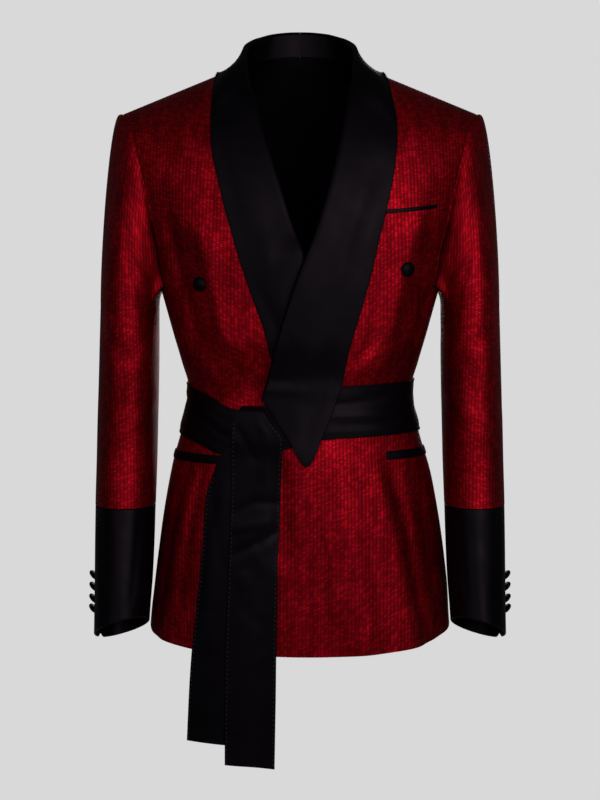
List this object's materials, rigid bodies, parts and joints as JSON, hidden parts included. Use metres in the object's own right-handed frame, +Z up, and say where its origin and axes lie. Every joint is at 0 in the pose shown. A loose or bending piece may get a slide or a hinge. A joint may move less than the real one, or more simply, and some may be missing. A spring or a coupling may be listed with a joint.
{
  "type": "tuxedo jacket",
  "caption": "Wrap-front tuxedo jacket in ribbed red cloth with a black satin shawl collar, satin cuffs, covered buttons and a knotted satin belt with hanging tails.",
  "frame": {"origin": "middle of the neck base at shoulder level, where the wearer holds the jacket up", "axes": "+Z up, -Y out of the front, +X to the wearer's left"},
  "size_m": [0.5272, 0.2472, 0.8976],
  "materials": {
    "ribbed_cloth": "ribbed metallic jacquard",
    "satin": "black satin",
    "lining": "plain black lining"
  },
  "bodies": {
    "root": {"front_left": "ribbed_cloth", "front_right": "ribbed_cloth", "side_left": "ribbed_cloth", "side_right": "ribbed_cloth", "back_left": "ribbed_cloth", "back_right": "ribbed_cloth", "sleeve_top_left": "ribbed_cloth", "sleeve_top_right": "ribbed_cloth", "sleeve_under_left": "ribbed_cloth", "sleeve_under_right": "ribbed_cloth", "cuff_left": "satin", "cuff_right": "satin", "shawl_left": "satin", "shawl_right": "satin", "collar_stand": "satin", "belt_band": "satin", "belt_knot": "satin", "belt_tail_front": "satin", "belt_tail_rear": "satin", "breast_welt": "satin", "hip_jet_left": "satin", "hip_jet_right": "satin", "chest_button_left": "satin", "chest_button_right": "satin", "cuff_button_left_1": "satin", "cuff_button_left_2": "satin", "cuff_button_left_3": "satin", "cuff_button_left_4": "satin", "cuff_button_right_1": "satin", "cuff_button_right_2": "satin", "cuff_button_right_3": "satin", "cuff_button_right_4": "satin", "back_lining": "lining"}
  },
  "joints": []
}
